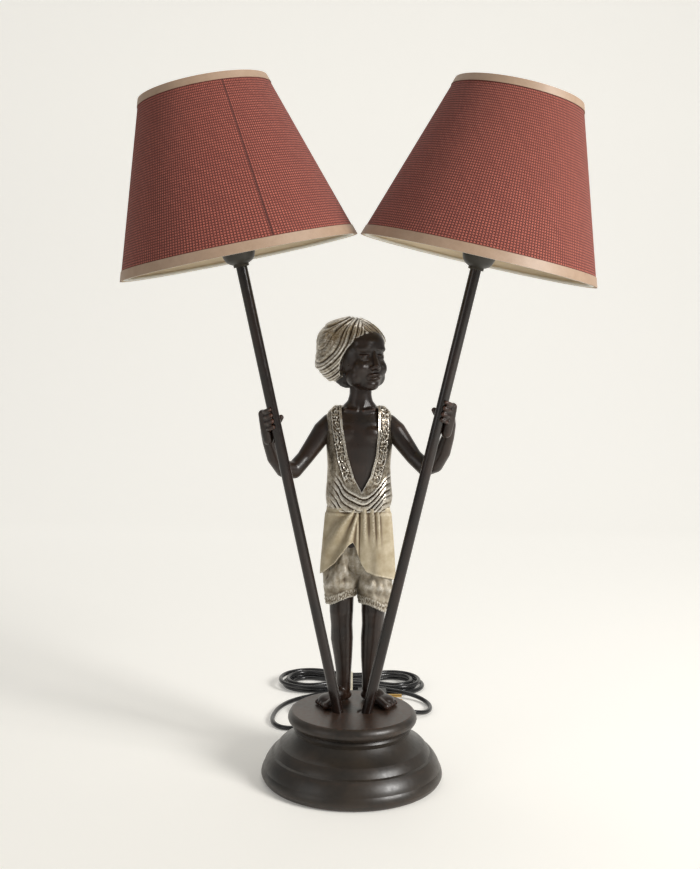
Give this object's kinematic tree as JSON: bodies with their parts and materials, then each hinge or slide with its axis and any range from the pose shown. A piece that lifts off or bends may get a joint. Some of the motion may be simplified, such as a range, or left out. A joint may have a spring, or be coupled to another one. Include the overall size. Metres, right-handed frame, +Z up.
{
  "type": "table lamp",
  "caption": "Figural table lamp: a standing figure in a turban grips leaning poles that carry conical fabric shades, on a round moulded plinth with a tied mains cord.",
  "frame": {"origin": "centre of the plinth's felt underside, on the table", "axes": "+Z up, -Y towards the viewer (front), +X to the viewer's right"},
  "size_m": [0.4326, 0.4928, 0.6639],
  "materials": {
    "patinated_resin": "dark brown-grey cast resin, rubbed reddish on the edges",
    "green_felt": "pressed felt",
    "black_plastic": "fine-grained black moulding",
    "grey_iron": "as cast",
    "zinc_steel": "zinc plated",
    "white_plastic": "moulded",
    "bronzed_steel": "black-brown, satin",
    "cup_bronze": "olive-black, satin",
    "holder_plastic": "moulded",
    "brass": "turned",
    "cap_metal": "rolled thread",
    "opal_glass": "opal white",
    "rust_weave": "coarse diagonal weave",
    "lining": "pale smooth sheet",
    "satin_trim": "beige satin tape",
    "white_wire": "white coated wire",
    "dark_skin": "dark brown-black satin patina with coppery rubs",
    "silver_leaf": "antique silver leaf",
    "cream_sash": "champagne, matte",
    "black_flex": "gloss black PVC",
    "tie_wire": "cream tie"
  },
  "bodies": {
    "base": {"base_weight": "grey_iron", "bottom_cover": "black_plastic", "breeches": "silver_leaf", "centre_contacts": "zinc_steel", "cord_bush": "black_plastic", "cord_hank": "black_flex", "cord_lead": "black_flex", "cord_plug_lead": "black_flex", "cord_tail": "black_flex", "cord_tie": "tie_wire", "cover_screws": "zinc_steel", "felt_pad": "green_felt", "figure_head": "dark_skin", "figure_legs": "dark_skin", "figure_nuts": "zinc_steel", "figure_studs": "zinc_steel", "figure_torso": "dark_skin", "figure_washers": "zinc_steel", "left_arm": "dark_skin", "left_cup": "cup_bronze", "left_lampholder": "holder_plastic", "left_pole": "bronzed_steel", "lower_ring_nuts": "holder_plastic", "plinth": "patinated_resin", "plug_body": "black_plastic", "plug_pins": "brass", "pole_nuts": "zinc_steel", "pole_washers": "zinc_steel", "right_arm": "dark_skin", "right_cup": "cup_bronze", "right_lampholder": "holder_plastic", "right_pole": "bronzed_steel", "sash": "cream_sash", "screw_shells": "brass", "switch_base": "black_plastic", "switch_cover": "black_plastic", "terminal_block": "white_plastic", "turban": "silver_leaf", "vest": "silver_leaf"},
    "left_shade": {"left_shade_fabric": "rust_weave", "left_shade_lining": "lining", "left_shade_bottom_trim": "satin_trim", "left_shade_top_trim": "satin_trim", "left_shade_top_wire": "white_wire", "left_shade_carrier": "white_wire"},
    "left_bulb": {"left_bulb_cap": "cap_metal", "left_bulb_glass": "opal_glass"},
    "left_ring_nut": {"left_upper_ring_nut": "holder_plastic"},
    "right_shade": {"right_shade_fabric": "rust_weave", "right_shade_lining": "lining", "right_shade_bottom_trim": "satin_trim", "right_shade_top_trim": "satin_trim", "right_shade_top_wire": "white_wire", "right_shade_carrier": "white_wire"},
    "right_bulb": {"right_bulb_cap": "cap_metal", "right_bulb_glass": "opal_glass"},
    "right_ring_nut": {"right_upper_ring_nut": "holder_plastic"},
    "rocker": {"switch_rocker": "black_plastic"}
  },
  "joints": [
    {"name": "left_shade_turn", "type": "hinge", "parent": "base", "child": "left_shade", "pos_m": [-0.10884, -0.04945, 0.50215], "axis": [-0.2122, -0.0903, 0.9731], "continuous": true},
    {"name": "left_bulb_out", "type": "slide", "parent": "base", "child": "left_bulb", "axis": [-0.2122, -0.0903, 0.9731], "range_m": [0, 0.03]},
    {"name": "left_nut_turn", "type": "hinge", "parent": "base", "child": "left_ring_nut", "pos_m": [-0.11478, -0.05198, 0.5294], "axis": [-0.2122, -0.0903, 0.9731], "continuous": true},
    {"name": "right_shade_turn", "type": "hinge", "parent": "base", "child": "right_shade", "pos_m": [0.10884, -0.04945, 0.50215], "axis": [0.2122, -0.0903, 0.9731], "continuous": true},
    {"name": "right_bulb_out", "type": "slide", "parent": "base", "child": "right_bulb", "axis": [0.2122, -0.0903, 0.9731], "range_m": [0, 0.03]},
    {"name": "right_nut_turn", "type": "hinge", "parent": "base", "child": "right_ring_nut", "pos_m": [0.11478, -0.05198, 0.5294], "axis": [0.2122, -0.0903, 0.9731], "continuous": true},
    {"name": "rocker_tilt", "type": "hinge", "parent": "base", "child": "rocker", "pos_m": [0.01, 0.171, 0.0145], "axis": [0, 1, 0], "range_deg": [0, 8]}
  ]
}
